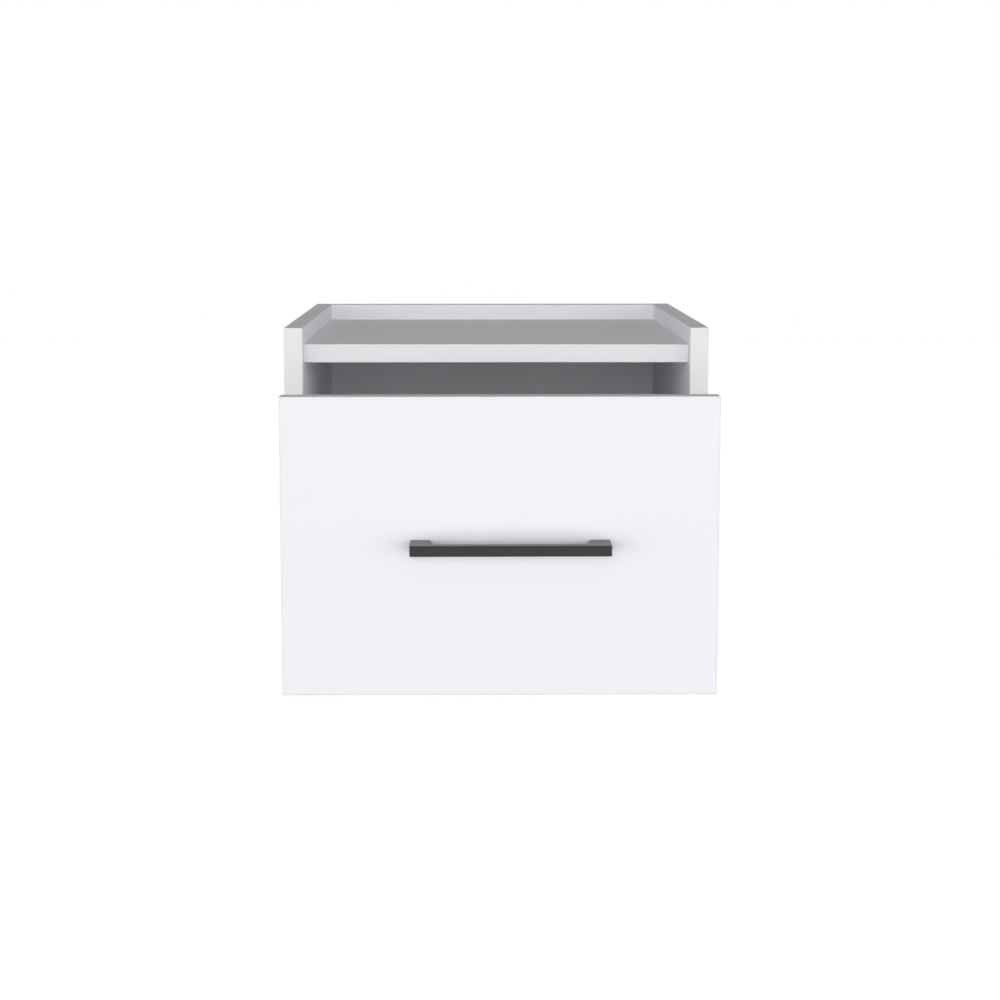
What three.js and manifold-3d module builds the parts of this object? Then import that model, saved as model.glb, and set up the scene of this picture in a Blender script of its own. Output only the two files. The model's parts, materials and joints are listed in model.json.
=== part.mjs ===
// A floating nightstand that hangs on a wall: two sides, a tray top set between them, a bottom,
// a back, and one deep drawer that runs on roller runners and is drawn pulled out to its stop.
// Millimetres. +X is to the right, +Y is towards the wall, +Z is up.
// The origin is on the wall, at the centre of the back panel's rear face.

import * as THREE from 'three';
import { mergeVertices } from 'three/addons/utils/BufferGeometryUtils.js';
import Module from 'manifold-3d';

const wasm = await Module();
wasm.setup();

// Cabinet sizes
const cabinetWidth = 360;
const cabinetDepth = 350;
const cabinetHeight = 260;
const boardThickness = 16;
const trayDepth = 15;
const topPanelSetback = 16;
const bottomPanelSetback = 17;

// Wall fixing holes in the back panel
const wallHoleRadius = 2.6;
const wallHoleSpacing = 220;
const wallHoleDrop = 14;
const wallHolePitch = 145;

// Drawer sizes
const frontSideReveal = 2.5;
const frontTopReveal = 3;
const frontBottomReveal = 3;
const boxRearGap = 18;
const boxHeight = 140;
const boxThickness = 12;
const boxFloorGap = 14;
const runnerGap = 12.5;
const sheetThickness = 3;
const sheetRise = 10;
const sheetSideGroove = 5;
const sheetFrontGroove = 6;

// Handle sizes, with its place on the drawer front as photographed
const handleLength = 147;
const handleProjection = 25;
const handleBarDepth = 8;
const handleHeight = 8;
const handleFootBase = 14.5;
const handleFootAtBar = 16;
const handleFillet = 4;
const handleEdge = 0.5;
const handlePitch = 128;
const handleShift = 7.5;
const handleRise = 1.5;
const handleThreadDepth = 10;

// Runner and roller sizes
const runnerSheet = 1.5;
const runnerFloorGap = 8;
const runnerOverlap = 70;
const fixedRunnerSetback = 3;
const fixedTopFlange = 8;
const drawerRunnerSetback = 1;
const drawerSeatFlange = 11;
const drawerRideFlange = 7.5;
const rollerRadius = 9;
const rollerWidth = 6.5;
const rollerChamfer = 0.5;
const rollerFromEnd = 14;
const rollerSideGap = 0.8;
const axleRadius = 2.5;
const axleHeadRadius = 4;
const axleHeadThickness = 0.8;
const stopHeight = 2;
const stopLength = 4;
const flangeReliefMargin = 2;

// Fasteners: radii and lengths along the axis from the outer face of the head
const panelScrew = {
  headRadius: 5,
  headRim: 1,
  headCone: 2.5,
  neckRadius: 3.4,
  threadRadius: 2.6,
  length: 48,
  tip: 3,
};
const boxScrew = {
  headRadius: 3.8,
  headRim: 0.4,
  headCone: 2.2,
  neckRadius: 2,
  threadRadius: 1.7,
  length: 34,
  tip: 3,
};
const runnerScrew = {
  headRadius: 3,
  headRim: 0.2,
  headCone: 1.3,
  neckRadius: 1.7,
  threadRadius: 1.4,
  length: 9,
  tip: 2,
};
const handleScrew = { headRadius: 4, headThickness: 2.4, shankRadius: 2 };
const camBolt = { threadRadius: 2.5, threadLength: 11, pinRadius: 2.2, headRadius: 2.9, headLength: 3 };
const camLock = { radius: 6, depth: 10, backset: 24, boltInset: 5.5, boltPast: 4 };

// Places of the fasteners on the pieces that carry them
const screwCapRadius = 6.5;
const screwCapThickness = 1;
const panelScrewFromEnd = 50;
const boxScrewRecess = 0.3;
const boxScrewFromEdge = 28;
const camFromEdge = 25;
const fixedScrewFromEnd = 45;
const drawerScrewFromEnd = 40;
const drawerScrewRise = 7;

// Clearances, the overrun of every cut and the fineness of round pieces
const screwEase = 0.15;
const axleEase = 0.05;
const rollerBoreEase = 0.2;
const grooveEase = 0.3;
const sheetEase = 0.2;
const rollerEase = 0.1;
const railEase = 0.5;
const flangeEase = 1;
const cutOverrun = 2;
const screwSteps = 12;
const rollerSteps = 24;
const wallHoleSteps = 24;
const discSteps = 32;
const filletSteps = 6;

// Places worked out from the sizes
const quarterTurn = Math.PI / 2;
const sides = [{ name: 'left', sign: -1 }, { name: 'right', sign: 1 }];

const halfWidth = cabinetWidth / 2;
const innerHalf = halfWidth - boardThickness;
const topEdge = cabinetHeight / 2;
const bottomEdge = -cabinetHeight / 2;
const trayFloor = topEdge - trayDepth;
const openingTop = trayFloor - boardThickness;
const openingFloor = bottomEdge + boardThickness;
const cabinetFront = -cabinetDepth;
const backFace = -boardThickness;

const frontHalf = innerHalf - frontSideReveal;
const frontTop = openingTop - frontTopReveal;
const frontBottom = bottomEdge + frontBottomReveal;
const handleLine = (frontTop + frontBottom) / 2 + handleRise;
const frontRear = cabinetFront + boardThickness;
const boxRear = backFace - boxRearGap;
const boxLength = boxRear - frontRear;
const drawerPull = boxLength - runnerOverlap;
const boxOuter = innerHalf - runnerGap;
const boxInner = boxOuter - boxThickness;
const boxBottom = openingFloor + boxFloorGap;
const boxTop = boxBottom + boxHeight;
const sheetBottom = boxBottom + sheetRise;
const sheetTop = sheetBottom + sheetThickness;
const boltLine = boxInner + camLock.boltInset;

const fixedBottom = openingFloor + runnerFloorGap;
const trackTop = fixedBottom + runnerSheet;
const rearRollerHeight = trackTop + rollerEase + rollerRadius;
const fixedTop = rearRollerHeight + rollerRadius + railEase + runnerSheet;
const rideHeight = fixedTop + flangeEase;
const frontRollerHeight = rideHeight - rollerEase - rollerRadius;
const fixedFront = frontRear + fixedRunnerSetback;
const fixedRear = fixedFront + boxLength;
const frontRollerPlace = fixedFront + rollerFromEnd;
const rearRollerPlace = boxRear - rollerFromEnd;
const drawerRunnerBottom = boxBottom - runnerSheet;
const drawerRunnerTop = rideHeight + runnerSheet;
const drawerRunnerFront = frontRear + drawerRunnerSetback;
const fixedWebFace = innerHalf - runnerSheet;
const drawerWebFace = boxOuter + runnerSheet;

// Materials
function paint(color, roughness, metalness) {
  return new THREE.MeshStandardMaterial({ color, roughness, metalness });
}
const whiteBoard = () => paint(0xf1f2f6, 0.45, 0);
const whiteSheet = () => paint(0xe9e9ea, 0.55, 0);
const greyMetal = () => paint(0x424446, 0.45, 0.6);
const zinc = () => paint(0xb4b7bc, 0.35, 1);
const coatedSteel = () => paint(0xe4e3de, 0.5, 0.1);
const nylon = () => paint(0xf0efe8, 0.5, 0);

// Closed solids: weld, cut and join

function weld(geometry) {
  const bare = geometry.clone();
  bare.deleteAttribute('normal');
  bare.deleteAttribute('uv');
  const merged = mergeVertices(bare);
  const corners = merged.index.array;
  const kept = [];
  for (let i = 0; i < corners.length; i += 3) {
    const [a, b, c] = [corners[i], corners[i + 1], corners[i + 2]];
    if (a !== b && b !== c && c !== a) kept.push(a, b, c);
  }
  merged.setIndex(kept);
  return merged;
}

function toSolid(geometry) {
  const closed = weld(geometry);
  const vertProperties = new Float32Array(closed.attributes.position.array);
  const triVerts = new Uint32Array(closed.index.array);
  return new wasm.Manifold(new wasm.Mesh({ numProp: 3, vertProperties, triVerts }));
}

function toGeometry(solid) {
  const mesh = solid.getMesh();
  const geometry = new THREE.BufferGeometry();
  geometry.setAttribute('position', new THREE.BufferAttribute(mesh.vertProperties, 3));
  geometry.setIndex(new THREE.BufferAttribute(mesh.triVerts, 1));
  return geometry;
}

function cut(geometry, tools) {
  const whole = toSolid(geometry);
  const left = tools.reduce((solid, tool) => solid.subtract(toSolid(tool)), whole);
  return toGeometry(left);
}

function join(geometry, additions) {
  const whole = additions.reduce((solid, piece) => solid.add(toSolid(piece)), toSolid(geometry));
  return toGeometry(whole);
}

// Plain forms in place

// A rectangular block between two corners given in any order
function block(x, y, z) {
  const ranges = [x, y, z];
  const size = ranges.map(([a, b]) => Math.abs(b - a));
  const centre = ranges.map(([a, b]) => (a + b) / 2);
  return new THREE.BoxGeometry(...size).translate(...centre);
}

// A turned piece from [radius, distance] points, its axis along +Y from the origin
function turned(profile, steps) {
  return new THREE.LatheGeometry(profile.map(([radius, along]) => new THREE.Vector2(radius, along)), steps);
}

// A plain round pin or drill along +Y
function pin(radius, from, to, steps = screwSteps) {
  return turned([[0, from], [radius, from], [radius, to], [0, to]], steps);
}

// A section drawn in X and Z that runs along Y
function railAlongY(section, front, rear) {
  const outline = new THREE.Shape(section.map(([x, z]) => new THREE.Vector2(x, z)));
  const rail = new THREE.ExtrudeGeometry(outline, { depth: rear - front, bevelEnabled: false });
  return rail.rotateX(quarterTurn).translate(0, rear, 0);
}

// Turns a form that lies along +Y so that it points inwards from the side with this sign
function pointInwards(geometry, sign) {
  return geometry.rotateZ(sign * quarterTurn);
}

// Scene graph

function addMesh(group, name, geometry, material) {
  const closed = weld(geometry);
  closed.computeVertexNormals();
  const mesh = new THREE.Mesh(closed, material);
  mesh.name = name;
  group.add(mesh);
  return mesh;
}

// Fastener forms

// A countersunk screw: head, neck as long as the piece it holds, then a finer thread
function screwProfile(screw, neckLength, ease, lead) {
  const { headRadius, headRim, headCone, neckRadius, threadRadius, length, tip } = screw;
  return [
    [0, -lead],
    [headRadius + ease, -lead],
    [headRadius + ease, headRim],
    [neckRadius + ease, headRim + headCone],
    [neckRadius + ease, neckLength],
    [threadRadius + ease, neckLength],
    [threadRadius + ease, length - tip + ease],
    [0, length + ease],
  ];
}

function countersunkScrew(screw, neckLength) {
  return turned(screwProfile(screw, neckLength, 0, 0), screwSteps);
}

function countersunkHole(screw, neckLength) {
  return turned(screwProfile(screw, neckLength, screwEase, cutOverrun), screwSteps);
}

// Every set of side screws: its screw, how far its head lies from the middle and its places
const panelScrewNeck = boardThickness - screwCapThickness;
const panelScrewHead = halfWidth - screwCapThickness;
const panelScrewFront = cabinetFront + panelScrewFromEnd;
const panelScrewRear = backFace - panelScrewFromEnd;
const panelScrewPlaces = [
  { name: 'top_front', y: panelScrewFront, z: trayFloor - boardThickness / 2 },
  { name: 'top_rear', y: panelScrewRear, z: trayFloor - boardThickness / 2 },
  { name: 'bottom_front', y: panelScrewFront, z: bottomEdge + boardThickness / 2 },
  { name: 'bottom_rear', y: panelScrewRear, z: bottomEdge + boardThickness / 2 },
  { name: 'back_upper', y: backFace / 2, z: openingTop - panelScrewFromEnd },
  { name: 'back_lower', y: backFace / 2, z: openingFloor + panelScrewFromEnd },
];

const boxScrewHead = boxOuter - boxScrewRecess;
const boxScrewNeck = boxThickness - boxScrewRecess;
const boxScrewPlaces = [
  { name: 'upper', y: boxRear - boxThickness / 2, z: boxTop - boxScrewFromEdge },
  { name: 'lower', y: boxRear - boxThickness / 2, z: sheetTop + boxScrewFromEdge },
];

const fixedScrewPlaces = [
  { name: 'front', y: fixedFront + fixedScrewFromEnd, z: (fixedBottom + fixedTop) / 2 },
  { name: 'rear', y: fixedRear - fixedScrewFromEnd, z: (fixedBottom + fixedTop) / 2 },
];

const drawerScrewPlaces = [
  { name: 'front', y: frontRear + drawerScrewFromEnd, z: drawerRunnerBottom + drawerScrewRise },
  { name: 'rear', y: boxRear - drawerScrewFromEnd, z: drawerRunnerBottom + drawerScrewRise },
];

const camPlaces = [
  { name: 'upper', z: boxTop - camFromEdge },
  { name: 'lower', z: sheetTop + camFromEdge },
];

function addScrews(group, prefix, places, sign, head, makeScrew, inwards) {
  for (const { name, y, z } of places) {
    const screw = addMesh(group, `${prefix}_${name}`, makeScrew(), zinc());
    screw.rotation.z = inwards * sign * quarterTurn;
    screw.position.set(sign * head, y, z);
  }
}

function screwHoles(places, sign, head, makeHole, inwards) {
  return places.map(({ y, z }) => pointInwards(makeHole(), inwards * sign).translate(sign * head, y, z));
}

const panelScrewHoles = (sign) => screwHoles(panelScrewPlaces, sign, panelScrewHead,
  () => countersunkHole(panelScrew, panelScrewNeck), 1);
const screwCapSeats = (sign) => screwHoles(panelScrewPlaces, sign, panelScrewHead,
  () => pin(screwCapRadius, -screwCapThickness - cutOverrun, 0, discSteps), 1);
const boxScrewHoles = (sign) => screwHoles(boxScrewPlaces, sign, boxScrewHead,
  () => countersunkHole(boxScrew, boxScrewNeck), 1);
const fixedScrewHoles = (sign) => screwHoles(fixedScrewPlaces, sign, fixedWebFace,
  () => countersunkHole(runnerScrew, runnerSheet), -1);
const drawerScrewHoles = (sign) => screwHoles(drawerScrewPlaces, sign, drawerWebFace,
  () => countersunkHole(runnerScrew, runnerSheet), 1);

const bothSides = (makeTools) => sides.flatMap(({ sign }) => makeTools(sign));

// Cabinet panels

function addCabinetPanels(cabinet) {
  for (const { name, sign } of sides) {
    const panel = block([sign * innerHalf, sign * halfWidth], [cabinetFront, 0], [bottomEdge, topEdge]);
    const holes = [...panelScrewHoles(sign), ...screwCapSeats(sign), ...fixedScrewHoles(sign)];
    addMesh(cabinet, `${name}_side_panel`, cut(panel, holes), whiteBoard());
  }
  const across = [-innerHalf, innerHalf];
  const top = block(across, [cabinetFront + topPanelSetback, backFace], [openingTop, trayFloor]);
  addMesh(cabinet, 'top_panel', cut(top, bothSides(panelScrewHoles)), whiteBoard());
  const bottom = block(across, [cabinetFront + bottomPanelSetback, backFace], [bottomEdge, openingFloor]);
  addMesh(cabinet, 'bottom_panel', cut(bottom, bothSides(panelScrewHoles)), whiteBoard());
  const back = block(across, [backFace, 0], [bottomEdge, topEdge]);
  addMesh(cabinet, 'back_panel', cut(back, [...bothSides(panelScrewHoles), ...wallHoles()]), whiteBoard());
}

function wallHoles() {
  const drill = pin(wallHoleRadius, backFace - cutOverrun, cutOverrun, wallHoleSteps);
  const upper = openingTop - wallHoleDrop;
  const heights = [upper, upper - wallHolePitch];
  return bothSides((sign) => heights.map((z) => drill.clone().translate(sign * wallHoleSpacing / 2, 0, z)));
}

// Runner members on the cabinet's sides, their front rollers and axles

function fixedRunner(sign) {
  const outer = innerHalf;
  const trackEdge = boxOuter + runnerSheet + rollerEase + railEase;
  const flangeEdge = outer - fixedTopFlange;
  const section = [
    [outer, fixedBottom],
    [outer, fixedTop],
    [flangeEdge, fixedTop],
    [flangeEdge, fixedTop - runnerSheet],
    [fixedWebFace, fixedTop - runnerSheet],
    [fixedWebFace, trackTop],
    [trackEdge, trackTop],
    [trackEdge, fixedBottom],
  ].map(([x, z]) => [sign * x, z]);
  const rail = railAlongY(section, fixedFront, fixedRear);
  const reliefEnd = frontRollerPlace + rollerRadius + flangeReliefMargin;
  const relief = block(
    [sign * (flangeEdge - cutOverrun), sign * fixedWebFace],
    [fixedFront - cutOverrun, reliefEnd],
    [fixedTop - runnerSheet, fixedTop + cutOverrun],
  );
  const axleHole = pin(axleRadius + axleEase, -cutOverrun, boardThickness);
  const axlePlace = [sign * fixedWebFace, frontRollerPlace, frontRollerHeight];
  const drilled = cut(rail, [
    relief,
    pointInwards(axleHole, -sign).translate(...axlePlace),
    ...fixedScrewHoles(sign),
  ]);
  return join(drilled, [drawerStop(sign, trackEdge)]);
}

// The tab that the drawer's roller meets when the drawer is pulled out as far as it goes
function drawerStop(sign, trackEdge) {
  const contactHeight = rollerRadius - stopHeight + rollerEase;
  const reach = Math.sqrt(rollerRadius ** 2 - contactHeight ** 2);
  const stopRear = rearRollerPlace - drawerPull - reach - rollerEase;
  return block(
    [sign * trackEdge, sign * innerHalf],
    [stopRear - stopLength, stopRear],
    [fixedBottom, trackTop + stopHeight],
  );
}

function rollerForm() {
  const bore = axleRadius + rollerBoreEase;
  return turned([
    [bore, 0],
    [rollerRadius - rollerChamfer, 0],
    [rollerRadius, rollerChamfer],
    [rollerRadius, rollerWidth - rollerChamfer],
    [rollerRadius - rollerChamfer, rollerWidth],
    [bore, rollerWidth],
    [bore, 0],
  ], rollerSteps);
}

// A rivet from the outer face of its head, through the roller, to the far face of the runner's web
function axleForm() {
  const head = axleHeadThickness;
  const total = head + rollerEase + rollerWidth + rollerSideGap + runnerSheet;
  return turned([
    [0, 0],
    [axleHeadRadius, 0],
    [axleHeadRadius, head],
    [axleRadius, head],
    [axleRadius, total],
    [0, total],
  ], screwSteps);
}

function addRollerSet(group, names, sign, webFace, outwards, y, z) {
  const rollerFace = webFace - outwards * (rollerSideGap + rollerWidth);
  const headFace = rollerFace - outwards * (rollerEase + axleHeadThickness);
  const roller = addMesh(group, names.roller, rollerForm(), nylon());
  const axle = addMesh(group, names.axle, axleForm(), zinc());
  roller.rotation.z = -outwards * sign * quarterTurn;
  roller.position.set(sign * rollerFace, y, z);
  axle.rotation.z = roller.rotation.z;
  axle.position.set(sign * headFace, y, z);
}

function addFixedRunners(cabinet) {
  for (const { name, sign } of sides) {
    const runner = new THREE.Group();
    addMesh(runner, `fixed_runner_${name}`, fixedRunner(sign), coatedSteel());
    addScrews(runner, `fixed_runner_screw_${name}`, fixedScrewPlaces, sign, fixedWebFace,
      () => countersunkScrew(runnerScrew, runnerSheet), -1);
    const names = { roller: `front_roller_${name}`, axle: `front_axle_${name}` };
    addRollerSet(runner, names, sign, fixedWebFace, 1, frontRollerPlace, frontRollerHeight);
    cabinet.add(runner);
  }
}

// Drawer box and front, drawn closed inside their own group

function addDrawerFront(drawer) {
  const board = block([-frontHalf, frontHalf], [cabinetFront, frontRear], [frontBottom, frontTop]);
  const grooveHalf = boxInner + sheetSideGroove;
  const groove = block(
    [-grooveHalf, grooveHalf],
    [frontRear - sheetFrontGroove, frontRear + cutOverrun],
    [sheetBottom, sheetTop + sheetEase],
  );
  const boltHole = pin(camBolt.threadRadius + screwEase, -camBolt.threadLength - screwEase, cutOverrun);
  const boltHoles = bothSides((sign) => camPlaces.map(({ z }) =>
    boltHole.clone().translate(sign * boltLine, frontRear, z)));
  const handleHole = pin(handleScrew.shankRadius + screwEase, -cutOverrun, boardThickness + cutOverrun);
  const handleHoles = sides.map(({ sign }) =>
    handleHole.clone().translate(handleShift + sign * handlePitch / 2, cabinetFront, handleLine));
  addMesh(drawer, 'drawer_front', cut(board, [groove, ...boltHoles, ...handleHoles]), whiteBoard());
}

function addDrawerSides(drawer) {
  for (const { name, sign } of sides) {
    const board = block([sign * boxInner, sign * boxOuter], [frontRear, boxRear], [boxBottom, boxTop]);
    const groove = block(
      [sign * (boxInner - cutOverrun), sign * (boxInner + sheetSideGroove)],
      [frontRear - cutOverrun, boxRear + cutOverrun],
      [sheetBottom, sheetTop + sheetEase],
    );
    const camHoles = camPlaces.flatMap(({ z }) => {
      const pocket = pin(camLock.radius + screwEase, -cutOverrun, camLock.depth + screwEase, discSteps);
      const boltBore = pin(camBolt.headRadius + screwEase, -cutOverrun, camLock.backset);
      return [
        pointInwards(pocket, -sign).translate(sign * boxInner, frontRear + camLock.backset, z),
        boltBore.translate(sign * boltLine, frontRear, z),
      ];
    });
    const holes = [groove, ...camHoles, ...boxScrewHoles(sign), ...drawerScrewHoles(sign)];
    addMesh(drawer, `drawer_side_${name}`, cut(board, holes), whiteBoard());
  }
}

function addDrawerBackAndBottom(drawer) {
  const across = [-boxInner, boxInner];
  const back = block(across, [boxRear - boxThickness, boxRear], [sheetTop + sheetEase, boxTop]);
  addMesh(drawer, 'drawer_back', cut(back, bothSides(boxScrewHoles)), whiteBoard());
  const sheetHalf = boxInner + sheetSideGroove - grooveEase;
  const sheet = block(
    [-sheetHalf, sheetHalf],
    [frontRear - sheetFrontGroove + grooveEase, boxRear],
    [sheetBottom, sheetTop],
  );
  addMesh(drawer, 'drawer_bottom', sheet, whiteSheet());
}

// Cam bolts in the drawer front and the cams in the drawer sides that draw it tight

function addCams(drawer) {
  const boltEnd = camLock.backset + camBolt.headLength / 2;
  const boltProfile = [
    [0, -camBolt.threadLength],
    [camBolt.threadRadius, -camBolt.threadLength],
    [camBolt.threadRadius, 0],
    [camBolt.pinRadius, 0],
    [camBolt.pinRadius, boltEnd - camBolt.headLength],
    [camBolt.headRadius, boltEnd - camBolt.headLength],
    [camBolt.headRadius, boltEnd],
    [0, boltEnd],
  ];
  for (const { name, sign } of sides) {
    for (const { name: level, z } of camPlaces) {
      const bolt = addMesh(drawer, `cam_bolt_${name}_${level}`, turned(boltProfile, screwSteps), zinc());
      bolt.position.set(sign * boltLine, frontRear, z);
      const cam = addMesh(drawer, `cam_lock_${name}_${level}`, camForm(sign), zinc());
      cam.position.set(sign * boxInner, frontRear + camLock.backset, z);
    }
  }
}

// A short drum across the drawer side, slotted from the front for the head of its bolt
function camForm(sign) {
  const drum = pointInwards(pin(camLock.radius, 0, camLock.depth, discSteps), -sign);
  const slot = pin(camBolt.headRadius + screwEase, -camLock.radius - cutOverrun, camLock.boltPast);
  return cut(drum, [slot.translate(sign * camLock.boltInset, 0, 0)]);
}

// Handle: a flat bar on two feet, drawn in plan and given its height, with its screws

function handlePlan() {
  const half = handleLength / 2;
  const barRear = handleBarDepth - handleProjection;
  const footInner = half - handleFootBase;
  const barCorner = half - handleFootAtBar;
  const slope = (barCorner - footInner) / barRear;
  const filletTop = barRear + handleFillet;
  const plan = new THREE.Shape();
  plan.moveTo(-half, 0);
  plan.lineTo(-half, -handleProjection);
  plan.lineTo(half, -handleProjection);
  plan.lineTo(half, 0);
  plan.lineTo(footInner, 0);
  plan.lineTo(footInner + slope * filletTop, filletTop);
  plan.quadraticCurveTo(barCorner, barRear, barCorner - handleFillet, barRear);
  plan.lineTo(-barCorner + handleFillet, barRear);
  plan.quadraticCurveTo(-barCorner, barRear, -footInner - slope * filletTop, filletTop);
  plan.lineTo(-footInner, 0);
  plan.closePath();
  return plan;
}

function handleForm() {
  const flatHeight = handleHeight - 2 * handleEdge;
  const bar = new THREE.ExtrudeGeometry(handlePlan(), {
    depth: flatHeight,
    curveSegments: filletSteps,
    bevelEnabled: true,
    bevelThickness: handleEdge,
    bevelSize: handleEdge,
    bevelOffset: -handleEdge,
    bevelSegments: 2,
  }).translate(0, 0, -flatHeight / 2);
  const drill = pin(handleScrew.shankRadius + screwEase, -handleThreadDepth - screwEase, cutOverrun);
  return cut(bar, sides.map(({ sign }) => drill.clone().translate(sign * handlePitch / 2, 0, 0)));
}

function addHandle(drawer) {
  const handle = addMesh(drawer, 'handle', handleForm(), greyMetal());
  handle.position.set(handleShift, cabinetFront, handleLine);
  const { headRadius, headThickness, shankRadius } = handleScrew;
  const screwForm = turned([
    [0, -handleThreadDepth - boardThickness],
    [shankRadius, -handleThreadDepth - boardThickness],
    [shankRadius, 0],
    [headRadius, 0],
    [headRadius, headThickness / 2],
    [shankRadius, headThickness],
    [0, headThickness],
  ], screwSteps);
  for (const { name, sign } of sides) {
    const screw = addMesh(drawer, `handle_screw_${name}`, screwForm, zinc());
    screw.position.set(handleShift + sign * handlePitch / 2, frontRear, handleLine);
  }
}

// Runner members under the drawer box, with their rear rollers and axles

function drawerRunner(sign) {
  const seatEdge = boxOuter - drawerSeatFlange;
  const rideEdge = drawerWebFace + drawerRideFlange;
  const section = [
    [seatEdge, drawerRunnerBottom],
    [drawerWebFace, drawerRunnerBottom],
    [drawerWebFace, rideHeight],
    [rideEdge, rideHeight],
    [rideEdge, drawerRunnerTop],
    [boxOuter, drawerRunnerTop],
    [boxOuter, boxBottom],
    [seatEdge, boxBottom],
  ].map(([x, z]) => [sign * x, z]);
  const rail = railAlongY(section, drawerRunnerFront, boxRear);
  const axleHole = pin(axleRadius + axleEase, -cutOverrun, runnerSheet + cutOverrun);
  const axlePlace = [sign * drawerWebFace, rearRollerPlace, rearRollerHeight];
  return cut(rail, [pointInwards(axleHole, sign).translate(...axlePlace), ...drawerScrewHoles(sign)]);
}

function addDrawerRunners(drawer) {
  for (const { name, sign } of sides) {
    const runner = new THREE.Group();
    addMesh(runner, `drawer_runner_${name}`, drawerRunner(sign), coatedSteel());
    addScrews(runner, `drawer_runner_screw_${name}`, drawerScrewPlaces, sign, drawerWebFace,
      () => countersunkScrew(runnerScrew, runnerSheet), 1);
    const names = { roller: `rear_roller_${name}`, axle: `rear_axle_${name}` };
    addRollerSet(runner, names, sign, drawerWebFace, -1, rearRollerPlace, rearRollerHeight);
    drawer.add(runner);
  }
}

// The whole nightstand

const cabinet = new THREE.Group();
addCabinetPanels(cabinet);
for (const { name, sign } of sides) {
  addScrews(cabinet, `panel_screw_${name}`, panelScrewPlaces, sign, panelScrewHead,
    () => countersunkScrew(panelScrew, panelScrewNeck), 1);
}
addFixedRunners(cabinet);

const drawer = new THREE.Group();
addDrawerFront(drawer);
addDrawerSides(drawer);
addDrawerBackAndBottom(drawer);
addCams(drawer);
for (const { name, sign } of sides) {
  addScrews(drawer, `drawer_back_screw_${name}`, boxScrewPlaces, sign, boxScrewHead,
    () => countersunkScrew(boxScrew, boxScrewNeck), 1);
}
addHandle(drawer);
addDrawerRunners(drawer);
drawer.position.y = -drawerPull;

const nightstand = new THREE.Group();
nightstand.name = 'floating_nightstand';
nightstand.add(cabinet, drawer);

export default nightstand;
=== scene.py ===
import json
import math

import bmesh
import bpy
import numpy as np
from bpy.props import FloatProperty, FloatVectorProperty, IntProperty, PointerProperty
from bpy.types import Operator, Panel, PropertyGroup
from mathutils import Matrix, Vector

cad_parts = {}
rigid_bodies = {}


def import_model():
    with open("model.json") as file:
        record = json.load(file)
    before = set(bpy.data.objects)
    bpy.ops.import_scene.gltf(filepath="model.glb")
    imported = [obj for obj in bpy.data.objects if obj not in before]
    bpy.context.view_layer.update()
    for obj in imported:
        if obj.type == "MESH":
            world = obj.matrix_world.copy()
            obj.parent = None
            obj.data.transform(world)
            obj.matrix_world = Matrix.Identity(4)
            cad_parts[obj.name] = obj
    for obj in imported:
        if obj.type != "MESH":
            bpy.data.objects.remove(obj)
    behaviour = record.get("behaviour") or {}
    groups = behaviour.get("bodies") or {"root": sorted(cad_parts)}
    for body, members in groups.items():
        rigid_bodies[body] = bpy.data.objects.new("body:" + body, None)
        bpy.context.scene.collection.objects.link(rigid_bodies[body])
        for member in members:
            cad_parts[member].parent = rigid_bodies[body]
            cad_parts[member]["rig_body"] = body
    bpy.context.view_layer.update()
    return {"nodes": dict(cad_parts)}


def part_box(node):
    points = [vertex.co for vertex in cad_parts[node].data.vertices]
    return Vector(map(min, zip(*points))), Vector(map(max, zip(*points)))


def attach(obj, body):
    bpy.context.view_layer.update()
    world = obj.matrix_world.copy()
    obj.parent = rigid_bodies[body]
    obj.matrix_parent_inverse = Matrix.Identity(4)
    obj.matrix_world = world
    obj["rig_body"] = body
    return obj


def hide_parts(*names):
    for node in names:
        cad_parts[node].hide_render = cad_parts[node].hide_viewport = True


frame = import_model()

bl_info = {
    "name": "Floating Nightstand",
    "version": (1, 0, 0),
    "blender": (4, 5, 0),
    "location": "3D View > Sidebar > Nightstand",
    "description": "Finishes a wall-hung nightstand: its boards, drawer, handle, runners and fasteners",
    "category": "Object",
}

MM = 0.001

# Within TOUCH a point lies on a face or a line, and within SAME_POINT two points are one
TOUCH = 0.02 * MM
SAME_POINT = 0.0001 * MM

SIDES = (("left", -1), ("right", 1))
AXES = {"x": 0, "y": 1, "z": 2}

# Each face of a node's box: its axis and side, the three low faces before the three high ones
FACES = {
    "left": (0, -1), "front": (1, -1), "bottom": (2, -1),
    "right": (0, 1), "rear": (1, 1), "top": (2, 1),
}

# Each board: the axis of its thickness and the faces that carry edge band
CABINET_BOARDS = {
    "left_side_panel": ("x", ("front", "top", "bottom")),
    "right_side_panel": ("x", ("front", "top", "bottom")),
    "top_panel": ("z", ("front",)),
    "bottom_panel": ("z", ("front",)),
    "back_panel": ("y", ("top", "bottom")),
}
DRAWER_BOARDS = {
    "drawer_front": ("y", ("left", "right", "top", "bottom")),
    "drawer_side_left": ("x", ("top",)),
    "drawer_side_right": ("x", ("top",)),
    "drawer_back": ("y", ("top",)),
}
PANEL_SCREW_PLACES = ("top_front", "top_rear", "bottom_front", "bottom_rear", "back_upper", "back_lower")
LEVELS = ("upper", "lower")
ENDS = ("front", "rear")


def node_box(node):
    """A CAD node's lowest and highest corner, as arrays."""
    low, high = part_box(node)
    return np.array(low), np.array(high)


def start_of(node, along):
    """Where the axis of a CAD node's box starts when it runs in this direction along X, Y or Z."""
    low, high = node_box(node)
    along = np.asarray(along)
    return np.select([along > 0, along < 0], [low, high], (low + high) / 2)


# Settings

def number_value(label, description, default, low, high, **kind):
    """A number that can be set between these limits."""
    return FloatProperty(name=label, description=description, default=default, min=low, max=high, **kind)


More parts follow.
